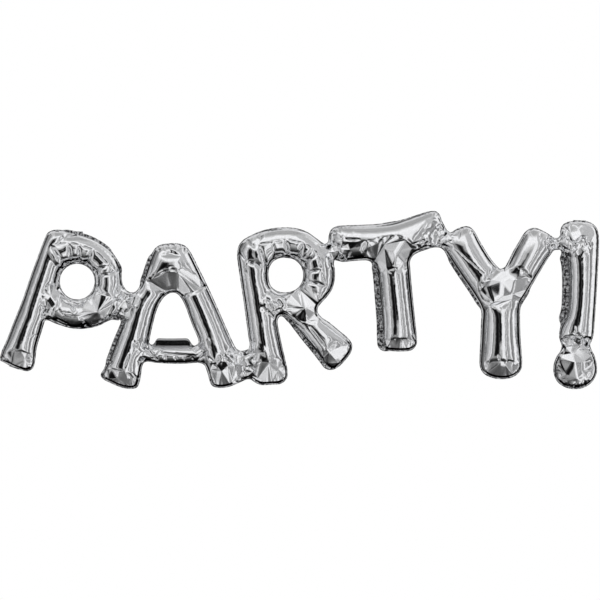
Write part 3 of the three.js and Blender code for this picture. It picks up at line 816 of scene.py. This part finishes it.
# The blowing up: air presses both sheets out into round tubes, and what the film has to spare goes
# into the folds, the pleats beside the weld and the facets of the necks.
# A facet's corner sinks by up to CORNER_SINK of its height, and by RIM_SINK more beside the weld.
# A fold takes at most DEEPEST_FOLD of the film's height, and LEAST_LEFT of it always stays. A fold
# that ends within OPEN_END of the weld runs out through it.
CORNER_SINK, RIM_SINK, RIM_BELT, DEEPEST_FOLD, LEAST_LEFT = 0.12, 0.15, 20, 0.55, 0.25
OPEN_END = 7


def blown_up(folds, seed):
    """One sheet: across, out and up for each point, and its place in the flat pattern."""
    flat, coarse, coarse_weld = lay_out(folds, seed)
    at_weld = [[weld_tree.find((*place, 0))[2] < OPEN_END for place in (fold[:2], fold[2:4])]
               for fold in folds]
    folds = [(*fold, *ends) for fold, ends in zip(folds, np.array(at_weld) * 1.0)]
    draw = np.random.default_rng(seed + 1)
    crush = crumpled(*flat.T) * draw.uniform(-1, 1, len(flat)) * ~coarse_weld
    sheet, triangles, on_weld = refined(np.hstack([flat, crush[:, None]]), coarse, coarse_weld, False)
    out = fullness(sheet[:, :2], triangles, on_weld)
    # A facet is flat between its corners, and some corners have sunk in
    corners = out[:len(flat)].copy()
    inside = slice((PATTERN_ROWS + 1) * coarse_weld.sum(), None)
    to_weld = np.array([weld_tree.find((x, z, 0))[2] for x, z in flat[inside].tolist()])
    near_weld = np.clip(1 - to_weld / RIM_BELT, 0, 1)
    corners[inside] *= 1 - CORNER_SINK * draw.random(len(to_weld)) - RIM_SINK * near_weld
    level = refined(corners[:, None], coarse, coarse_weld, False)[0][:, 0]
    share = faceted(*sheet[:, :2].T)
    out = out * (1 - share) + level * share
    sheet = np.hstack([sheet, out[:, None]])
    level = refined(sheet, triangles, on_weld, False)[0]
    sheet, triangles, on_weld = refined(sheet, triangles, on_weld, True)
    share = faceted(*level[:, :2].T)
    sheet += (level - sheet) * share[:, None]
    flat, crush, out = sheet[:, :2], level[:, 2], sheet[:, 3]
    dip = np.minimum(fold_depth(*flat.T, folds) * (1 - share), out * DEEPEST_FOLD)
    out = np.maximum(out - dip + crush + puckers(*flat.T), out * LEAST_LEFT) * ~on_weld
    return np.stack([flat[:, 0], out, flat[:, 1]], 1), flat, triangles, on_weld


# The back sheet wrinkles in its own way: it has the same folds, each end moved a little and each
# depth changed.
FRONT_SEED, BACK_SEED, SHIFT_SEED = 15, 29, 23
FOLD_SHIFT, DEPTH_SHARES = 5, (0.6, 1.1)
shift = np.random.default_rng(SHIFT_SEED)
back_folds = []
for *ends, depth in FOLDS:
    moved = [end + shift.uniform(-FOLD_SHIFT, FOLD_SHIFT) for end in ends]
    back_folds.append((*moved, depth * shift.uniform(*DEPTH_SHARES)))
front = blown_up(FOLDS, FRONT_SEED)
back = blown_up(back_folds, BACK_SEED)

# The envelope: both sheets of each letter, sealed to each other at the weld and tight with air.
# Each letter is found by a point inside its tube, across and up.
LETTERS = {
    "letter_p": (-360, 0), "letter_a": (-120, -10), "letter_r": (-70, 20),
    "letter_t": (112, 0), "letter_y": (290, 0), "mark_stem": (388, 20),
    "mark_dot": (388, -95),
}


def part_of(flat, triangles):
    """For each triangle, the neck it is in, or the letter that it hangs together with."""
    middle = flat[triangles].mean(1)
    names = np.full(len(triangles), "", dtype="U16")
    for neck in NECKS:
        s, t = along_and_beside(*middle.T, neck)
        names[(np.abs(s) < neck.half) & (np.abs(t) < neck.reach)] = neck.name
    # Triangles that hang together outside the necks come to share their lowest label
    loose = names == ""
    label = np.arange(len(flat))
    while True:
        lowest = label[triangles[loose]].min(1)
        new = label.copy()
        np.minimum.at(new, triangles[loose].ravel(), np.repeat(lowest, 3))
        new = new[new]
        if (new == label).all():
            break
        label = new
    of_triangle = label[triangles[:, 0]]
    for name, (x, z) in LETTERS.items():
        nearest = np.argmin(np.where(loose, np.hypot(middle[:, 0] - x, middle[:, 1] - z), 1e9))
        names[loose & (of_triangle == of_triangle[nearest])] = name
    for i in np.where(names == "")[0]:
        names[i] = min(NECKS, key=lambda neck: math.dist(middle[i], (neck.x, neck.z))).name
    return names


points = np.vstack([front[0] * (0.001, -0.001, 0.001), back[0] * 0.001])
triangles = np.vstack([front[2], back[2][:, ::-1] + len(front[0])])
front_names = part_of(*front[1:3])
part_names = np.concatenate([front_names, part_of(*back[1:3])])
# The weld points of the two sheets are one point
key = np.round(points * 1e6).astype(np.int64)
_, first, same = np.unique(key, axis=0, return_index=True, return_inverse=True)
points, triangles = points[first], same.reshape(-1)[triangles]
a, b, c = (points[triangles[:, k]] for k in range(3))
side_normals = np.cross(b - a, c - a)
# Where the film is creased by more than this angle, each side of the crease keeps its own normal
CREASE = math.cos(math.radians(26))
unit_normals = unit(side_normals, 1e-12)
corners = triangles.ravel()
order = np.argsort(corners, kind="stable")
slot = np.arange(len(order)) - np.searchsorted(corners[order], corners[order])
sides_at = np.full((len(points), slot.max() + 1), -1)
sides_at[corners[order], slot] = order // 3
normals = np.zeros((len(corners), 3))
for k in range(sides_at.shape[1]):
    other = sides_at[corners, k]
    level = (np.repeat(unit_normals, 3, 0) * unit_normals[other]).sum(1) > CREASE
    normals += side_normals[other] * (level & (other >= 0))[:, None]
normals = unit(normals, 1e-12).reshape(-1, 3, 3)


def open_ends(cells):
    """The closed lines along which a piece of film was cut, as the faces that would close it."""
    sides = dict.fromkeys((cell[k - 3], cell[k - 2]) for cell in cells for k in range(3))
    follows = {}
    for a, b in sides:
        if (b, a) not in sides:
            follows.setdefault(b, []).append(a)
    ends = []
    while follows:
        start = at = next(iter(follows))
        line = []
        while at in follows:
            line.append(at)
            ahead = follows[at].pop()
            if not follows[at]:
                del follows[at]
            at = ahead
            if at == start:
                break
        if len(line) > 2 and len(set(line)) == len(line):
            ends.append(line)
    return ends


def sheet_piece(name, chosen, capped):
    """One piece of film with the normals of the whole. With capped, flat walls close its cut ends."""
    used = np.unique(triangles[chosen])
    number = np.full(len(points), -1)
    number[used] = np.arange(len(used))
    cells = number[triangles[chosen]].tolist()
    mesh = bpy.data.meshes.new(name)
    mesh.from_pydata(points[used].tolist(), [], cells + (open_ends(cells) if capped else []))
    mesh.validate()
    mesh.shade_smooth()
    given = np.zeros((len(mesh.loops), 3))
    given[:3 * len(cells)] = normals[chosen].reshape(-1, 3)
    mesh.normals_split_custom_set(given.tolist())
    return placed(name, mesh)


def metal(tree, tone, haze, strength, distance, unevenness):
    """The metal coat of a film: its colour, its haze, and how it stands off the flat."""
    bump = tree.node("ShaderNodeBump",
                     sockets={"Strength": strength, "Distance": distance, "Height": unevenness})
    skin = tree.node("ShaderNodeBsdfPrincipled",
                     sockets={"Base Color": tone, "Metallic": 1.0, "Roughness": haze, "Normal": bump})
    tree.node("ShaderNodeOutputMaterial", sockets={0: skin})


# Silver film: a mirror coat under clear film, drawn very slightly wavy by its rolling.
foil = bpy.data.materials.new("silver_mirror_film")
film = emptied(foil)
spot = film.node("ShaderNodeTexCoord", out=3)
cloud = spot.clouds(35.0, 2.0)
metal(film, cloud.between((0.90, 0.905, 0.915, 1), (0.93, 0.935, 0.945, 1)), cloud * 0.07 + 0.05,
      0.06, 0.0004, spot.clouds(420.0, 3.0, 0.6))

for name in LETTERS:
    envelope = sheet_piece(name + "_envelope", part_names == name, True)
    envelope.data.materials.append(foil)
    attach(envelope, name)
    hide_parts(name + "_front_film", name + "_back_film")


def bend_with(piece):
    """Bakes the piece's place into its points. Nothing bends it between the two letters."""
    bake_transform(piece)


for neck in NECKS:
    web = sheet_piece(neck.name + "_film", part_names == neck.name, False)
    web.data.materials.append(foil)
    bend_with(web)
    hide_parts(neck.name)

# The weld margin: outside the weld the two sheets are sealed flat into one stiff strip, cut about a
# millimetre away from the weld, wider in some corners, and puckered by the swelling film.
MARGIN_INSIDE, MARGIN_WIDTH, MARGIN_ROWS, MARGIN_SPACING = 1.2, 0.9, 4, 1.1
# Its ripples and its thickness are in metres, as the nodes are
RIPPLE_HEIGHT, RIPPLES_PER_METRE, SEALED_FILM = 0.0022, 150.0, 0.00022
# Places where the strip was left wider, in millimetres: across and up of both ends, width and
# reach, and the share of the ripples that it has, which also sets how strongly its painted reflections are
# speckled
WIDER_MARGINS = [
    # The first row, along the bottom of A's counter, is a strip 12 mm wide with almost no ripples, so its
    # colour evens out to dark grey: a painted shade on the top of A's crossbar.
    (-200.2, -65.1, -156.8, -65.1, 12, 4, 0.03), (-275.8, -79.8, -249.2, -8.4, 7.5, 9, 1),
    (99.4, 42, 112, -63, 7.5, 9, 1), (375.2, 58.8, 373.1, -25.2, 8.2, 9, 1),
    (-246.4, 47.6, -239.4, 22.4, 5, 6, 1), (-224, 28, -211.4, 58.8, 4, 6, 1),
    (-18.2, -29.4, 35, -92.4, 4.5, 8, 1), (309.4, -4.2, 317.8, 9.8, 3, 5, 1),
    (210, 53.2, 249.2, -4.2, 3, 6, 1), (-322, 99.4, -266, 75.6, 3.2, 8, 1),
]

# The strip's colour is a noise speckle between near-black and near-white metal, stronger where it ripples
# more: painted dark and bright reflections of its crinkles, not the film's own silver.
seal = bpy.data.materials.new("sealed_film_margin")
press = emptied(seal)
run = press.node("ShaderNodeAttribute", {"attribute_name": "weld_run"}, out=2)
loose = press.node("ShaderNodeAttribute", {"attribute_name": "loose"}, out=2)
cloud = press.node("ShaderNodeTexCoord", out=3).clouds(260.0, 2.0, 0.6)
painted_glint_and_shade = ((cloud - 0.5) * loose).ranged(-0.08, 0.12)
ribs = press.maths("SINE", run * 4200.0)
metal(press, painted_glint_and_shade.between((0.03, 0.03, 0.032, 1), (0.95, 0.955, 0.965, 1)), cloud * 0.1 + 0.06,
      1.0, 0.0015, (ribs * 0.15 + cloud) * loose)

# The strip's nodes: a line of points grows outwards in rows, and ripples more the further out it is
strip_tree = bpy.data.node_groups.new("weld_margin_strip", "GeometryNodeTree")


def new_socket(name, kind, way="INPUT"):
    """One more socket of the strip's node group. Gives its identifier."""
    return strip_tree.interface.new_socket(name, in_out=way, socket_type="NodeSocket" + kind).identifier


new_socket("Line", "Geometry")
PUCKER, CRINKLES = new_socket("Pucker", "Float"), new_socket("Crinkles per metre", "Float")
FINISH = new_socket("Finish", "Material")
new_socket("Strip", "Geometry", "OUTPUT")
strip = Shade(strip_tree)
given = strip.node("NodeGroupInput").socket.node.outputs
line, pucker, crinkles, finish = (Shade(strip_tree, socket) for socket in given[:4])
outward = strip.node("GeometryNodeInputNamedAttribute", {"data_type": "FLOAT_VECTOR"}, {"Name": "outward"})
row_step = strip.node("ShaderNodeVectorMath", {"operation": "SCALE"}, {0: outward, "Scale": 1 / MARGIN_ROWS})
chosen = {}
for row in range(MARGIN_ROWS):
    line = strip.node("GeometryNodeExtrudeMesh", {"mode": "EDGES"},
                      {"Mesh": line, "Offset": row_step, **chosen})
    chosen = {"Selection": Shade(strip_tree, line.socket.node.outputs["Top"])}
    line = strip.node("GeometryNodeStoreNamedAttribute", {"data_type": "FLOAT", "domain": "POINT"},
                      {"Geometry": line, "Name": "far_out", "Value": (row + 1) / MARGIN_ROWS, **chosen})
far_out = strip.node("GeometryNodeInputNamedAttribute", {"data_type": "FLOAT"}, {"Name": "far_out"})
noise = strip.node("ShaderNodeTexNoise", sockets={"Scale": crinkles, "Detail": 1.0})
loose = strip.node("GeometryNodeInputNamedAttribute", {"data_type": "FLOAT"}, {"Name": "loose"})
ripple = strip.node("ShaderNodeCombineXYZ", sockets={1: (noise - 0.5) * pucker * far_out * loose})
line = strip.node("GeometryNodeSetPosition", sockets={"Geometry": line, "Offset": ripple})
line = strip.node("GeometryNodeRealizeInstances", sockets={"Geometry": line})
line = strip.node("GeometryNodeSetMaterial", sockets={"Geometry": line, "Material": finish})
strip.node("NodeGroupOutput", sockets={0: line})


def margin_shape(x, z):
    """How wide the strip is beside each point, and how loosely it ripples, which also sets how strongly its
    painted reflections are speckled.
    """
    wide, loose = np.full(len(x), MARGIN_WIDTH), np.ones(len(x))
    for x0, z0, x1, z1, width, reach, ripples in WIDER_MARGINS:
        near = np.clip(1.5 - from_line(x, z, x0, z0, x1, z1)[0] / reach, 0, 1)
        near = near * near * (3 - 2 * near)
        wide = np.maximum(wide, MARGIN_WIDTH + (width - MARGIN_WIDTH) * near)
        loose += (ripples - loose) * near
    return wide, loose


# Each point of the weld belongs to the letter or neck whose film it holds
_, flat, cells, on_weld = front
weld_owner = {}
at_weld = on_weld[cells].any(1)
for cell, owner in zip(cells[at_weld], front_names[at_weld]):
    for i in cell[on_weld[cell]]:
        weld_owner.setdefault(i, owner)
owner_tree = nearest_of([(i, *flat[i]) for i in weld_owner])

margin_lines = [weld_line(points_on_weld, MARGIN_SPACING) for points_on_weld in WELD_POINTS.values()]
margin_runs = {}
for line in margin_lines:
    inward = unit(evened(turned_inward(line), 6, 2))
    wide, loose = margin_shape(*line.T)
    wide = evened(wide, 8)
    owners = [weld_owner[owner_tree.find((x, z, 0))[1]] for x, z in line]
    first = next(i for i in range(len(line)) if owners[i] != owners[i - 1]) if len(set(owners)) > 1 else 0
    chain = []
    for k in range(len(line) + 1):
        i = (first + k) % len(line)
        outward = inward[i] * -(wide[i] + MARGIN_INSIDE)
        chain.append((*(line[i] + inward[i] * MARGIN_INSIDE), *outward, k * MARGIN_SPACING, loose[i]))
        if k == len(line) or owners[i] != owners[i - 1] and k:
            margin_runs.setdefault(owners[i - 1], []).append(chain)
            chain = chain[-1:]


def sealed_sheet(piece, thickness, faces_back=False):
    """The two films pressed to one: joined at its doubles, turned to face one way and made thick."""
    shape = bmesh.new()
    shape.from_mesh(piece.data)
    bmesh.ops.remove_doubles(shape, verts=shape.verts, dist=1e-6)
    bmesh.ops.recalc_face_normals(shape, faces=shape.faces)
    if faces_back and sum(face.normal.y * face.calc_area() for face in shape.faces) < 0:
        bmesh.ops.reverse_faces(shape, faces=shape.faces)
    shape.to_mesh(piece.data)
    shape.free()
    piece.data.shade_smooth()
    thick = piece.modifiers.new("film", "SOLIDIFY")
    thick.thickness, thick.offset = thickness, 0
    return piece


def margin_piece(name, chains):
    """The strips of one body, grown by the nodes and given the thickness of the sealed film."""
    joins, start = [], 0
    for chain in chains:
        joins += [(start + k, start + k + 1) for k in range(len(chain) - 1)]
        start += len(chain)
    x, z, out_x, out_z, run, loose = np.vstack(chains).T
    level = np.zeros(len(x))
    mesh = bpy.data.meshes.new(name)
    mesh.from_pydata((np.stack([x, level, z], 1) / 1000).tolist(), joins, [])
    mesh.attributes.new("outward", "FLOAT_VECTOR", "POINT").data.foreach_set(
        "vector", (np.stack([out_x, level, out_z], 1) / 1000).ravel())
    for attribute, values in (("far_out", level), ("weld_run", run / 1000), ("loose", loose)):
        mesh.attributes.new(attribute, "FLOAT", "POINT").data.foreach_set("value", values)
    piece = placed(name, mesh)
    grow = piece.modifiers.new("grow", "NODES")
    grow.node_group = strip_tree
    grow[PUCKER], grow[CRINKLES], grow[FINISH] = RIPPLE_HEIGHT, RIPPLES_PER_METRE, seal
    grown = bpy.data.meshes.new_from_object(piece.evaluated_get(bpy.context.evaluated_depsgraph_get()))
    piece.modifiers.remove(grow)
    piece.data = grown
    return sealed_sheet(piece, SEALED_FILM)


for name in LETTERS:
    margin = margin_piece(name + "_weld_margin", margin_runs[name])
    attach(margin, name)
    counter = [name + "_counter_seam"] if name in ("letter_p", "letter_a", "letter_r") else []
    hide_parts(name + "_seam", *counter)
for neck in NECKS:
    margin = margin_piece(neck.name + "_weld_margin", margin_runs[neck.name])
    bend_with(margin)

# The ribbon tabs behind the top edge and the filling tail behind the foot of the first letter:
# flat strips of the same film, left on when the margin was cut, folded over to the back.
# Each is sealed along its sides. The tabs have a punched ribbon hole with a pressed ring.
# Node, body, middle of the tube across and up, turn of its upright in degrees, width, length of the
# straight end, degrees of tube that it wraps, radius of its hole
TAILS = [
    ("hang_tab_left", "letter_p", -313.2, 72.7, 0, 18, 14, 52, 2.2),
    ("hang_tab_middle", "letter_t", 128.5, 85.6, -9.5, 18, 14, 52, 2.2),
    ("hang_tab_right", "mark_stem", 390.8, 83.3, 2, 18, 14, 52, 2.2),
    ("fill_valve", "letter_p", -393.2, -73.4, 198.7, 15, 34, 58, 0),
]
# Gap to the film, spacing of the strip's points, radius of its corners and thickness in metres
TAIL_GAP, TAIL_GRID, TAIL_CORNER, TAIL_FILM = 0.9, 0.75, 3.0, 0.00025
# Where a strip leaves the margin's edge: how far above it, and how far behind
TAIL_ROOT = np.array([(1.2, 0.25), (1.5, 0.9)])
# Rays find the film that the strip lies on: those at one bearing, the step between bearings, where
# a ray starts, the film within reach, and the margin within reach above the tube's middle
RAYS, RAY_TURN, RAY_START, FILM_REACH, MARGIN_REACH = 9, 2.0, 80, 70, 45
# The path's points keep this distance, and the loose end curls a little
PATH_SPACING, END_CURL = 0.8, 0.006
# Loose points keep off the strip's rim, and the hole is this share of the straight end from its tip
OFF_RIM, EYE_PLACE = 0.5, 0.3
# Pressed into the strip: ribs along its sealed sides (width, turns a millimetre, height), a ring
# round the hole (gap, spread, height) and the channel for the air (half width, height)
SEAL_WIDTH, SEAL_TURNS, SEAL_HEIGHT = 2.0, 5.2, 0.12
RING_GAP, RING_SPREAD, RING_HEIGHT = 0.9, 0.35, 0.22
CHANNEL_HALF, CHANNEL_HEIGHT = 4.6, 0.9

back_cells = triangles[points[triangles].mean(1)[:, 1] > -1e-5]


def tail_path(x, z, up, side, width, straight, wrap):
    """Places down the strip's middle, from the margin round the back of the tube: (up, back)."""
    middle = points[back_cells].mean(1) * 1000
    near = np.hypot(middle[:, 0] - x, middle[:, 2] - z) < FILM_REACH
    tree = BVHTree.FromPolygons((points * 1000).tolist(), back_cells[near].tolist())
    offset = np.vstack(margin_lines) - (x, z)
    beside = np.abs(offset @ side) < width / 2
    heights = offset[beside] @ up
    tall = max(heights[heights < MARGIN_REACH])
    bearings = np.arange(10, wrap + 1, RAY_TURN)
    far = []
    for bearing in np.radians(bearings):
        ray = np.array([up[0] * math.cos(bearing), math.sin(bearing), up[1] * math.cos(bearing)])
        hits = []
        for t in np.linspace(-width / 2, width / 2, RAYS):
            origin = np.array([x + side[0] * t, 0, z + side[1] * t])
            place, _, _, length = tree.ray_cast(Vector(origin + ray * RAY_START), Vector(-ray), RAY_START)
            if place is not None:
                hits.append(RAY_START - length)
        far.append(max(hits) if hits else far[-1])
    far = np.array(far) + TAIL_GAP
    for _ in range(3):
        far[1:-1] = np.maximum(far[1:-1], (far[:-2] + far[2:]) / 2)
    ups = np.concatenate([tall + TAIL_ROOT[:, 0], far * np.cos(np.radians(bearings))])
    backs = np.concatenate([TAIL_ROOT[:, 1], far * np.sin(np.radians(bearings))])
    path = [(ups[0], backs[0])]
    for place in zip(ups[1:], backs[1:]):
        if math.dist(place, path[-1]) > PATH_SPACING:
            path.append(place)
    path = np.array(path)
    last = path[-1] - path[-3]
    last /= np.linalg.norm(last)
    bend = np.array([-last[1], last[0]])
    for _ in range(straight):
        path = np.vstack([path, path[-1] + last])
        last = last + bend * END_CURL
        last /= np.linalg.norm(last)
    return path


def tail_pattern(long, half, eye, hole):
    """The strip drawn flat: its points, along and across, and its triangles. The hole is cut out."""
    corner = TAIL_CORNER
    quarter = np.radians(np.arange(0, 91, 15))
    rim = [(0, -half), (0, half)]
    rim += [(long - corner + corner * math.sin(a), half - corner + corner * math.cos(a)) for a in quarter]
    rim += [(long - corner + corner * math.cos(a), -half + corner - corner * math.sin(a)) for a in quarter]
    outline = []
    for a, b in zip(rim, rim[1:] + rim[:1]):
        count = max(round(math.dist(a, b) / TAIL_GRID), 1)
        outline += [(a[0] + (b[0] - a[0]) * k / count, a[1] + (b[1] - a[1]) * k / count)
                    for k in range(count)]
    sides = [(k, (k + 1) % len(outline)) for k in range(len(outline))]
    spots = list(outline)
    if hole:
        round_eye = np.radians(np.arange(0, 360, 10))
        ring = [(eye[0] + hole * math.cos(a), eye[1] + hole * math.sin(a)) for a in round_eye]
        sides += [(len(spots) + k, len(spots) + (k + 1) % len(ring)) for k in range(len(ring))]
        spots += ring
    for s in np.arange(TAIL_GRID, long - OFF_RIM, TAIL_GRID):
        for t in np.arange(-half + TAIL_GRID, half - OFF_RIM, TAIL_GRID):
            past = math.hypot(max(s - long + corner, 0), max(abs(t) - half + corner, 0)) > corner - OFF_RIM
            if not past and (not hole or math.dist((s, t), eye) > hole + OFF_RIM):
                spots.append((s, t))
    flat, _, cells, _, _, _ = geometry.delaunay_2d_cdt(
        [Vector(p) for p in spots], sides, [], CUT_INSIDE, SAME_PLACE)
    if hole:
        middles = [sum((flat[i] for i in cell), Vector((0, 0))) / 3 for cell in cells]
        cells = [cell for cell, middle in zip(cells, middles) if math.dist(middle, eye) > hole * 0.98]
    return flat, cells


def tail_piece(name, x, z, turn, width, straight, wrap, hole):
    """The flat pattern laid along the path, with its seals, ring or channel pressed in."""
    up = np.array([math.sin(math.radians(turn)), math.cos(math.radians(turn))])
    side = np.array([up[1], -up[0]])
    path = tail_path(x, z, up, side, width, straight, wrap)
    run = run_along(path)
    long, half = run[-1], width / 2
    eye = (long - EYE_PLACE * straight, 0)
    flat, cells = tail_pattern(long, half, eye, hole)
    places = []
    for s, t in flat:
        height, depth = (np.interp(s, run, path[:, k]) for k in range(2))
        ahead = [np.interp(s + 0.5, run, path[:, k]) - np.interp(s - 0.5, run, path[:, k]) for k in range(2)]
        size = math.hypot(*ahead)
        out = np.array([-ahead[1], ahead[0]]) / size if size else np.array([0, 1.0])
        pressed = SEAL_HEIGHT * math.sin(s * SEAL_TURNS) * (abs(t) > half - SEAL_WIDTH)
        if hole:
            off_ring = (math.dist((s, t), eye) - hole - RING_GAP) / RING_SPREAD
            pressed += RING_HEIGHT * math.exp(-off_ring ** 2)
        else:
            channel = CHANNEL_HEIGHT * max(1 - (t / CHANNEL_HALF) ** 2, 0)
            pressed += channel * min(s / 8, 1) * min((long - s) / 5, 1)
        curl = 0.35 * math.sin(s * 0.31 + x) * (t / half) + 0.25 * math.sin(s * 0.5 + t * 0.4 + z)
        lift = pressed + curl * min(s / 6, 1)
        height, depth = height + out[0] * lift, depth + out[1] * lift
        across = ((x, z) + up * height + side * t) / 1000
        places.append((across[0], depth / 1000, across[1]))
    mesh = bpy.data.meshes.new(name)
    mesh.from_pydata(places, [], cells)
    return sealed_sheet(placed(name, mesh), TAIL_FILM, faces_back=True)


strap = bpy.data.materials.new("silver_tail_film")
tail = emptied(strap)
spot = tail.node("ShaderNodeTexCoord", out=3)
cloud = spot.clouds(120.0, 3.0)
metal(tail, cloud.between((0.80, 0.805, 0.815, 1), (0.91, 0.915, 0.925, 1)), cloud * 0.12 + 0.1,
      0.2, 0.0004, spot.clouds(700.0, 2.0))

for name, body, *sizes in TAILS:
    strip_piece = tail_piece(name + "_strip", *sizes)
    strip_piece.data.materials.append(strap)
    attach(strip_piece, body)
    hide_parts(name)
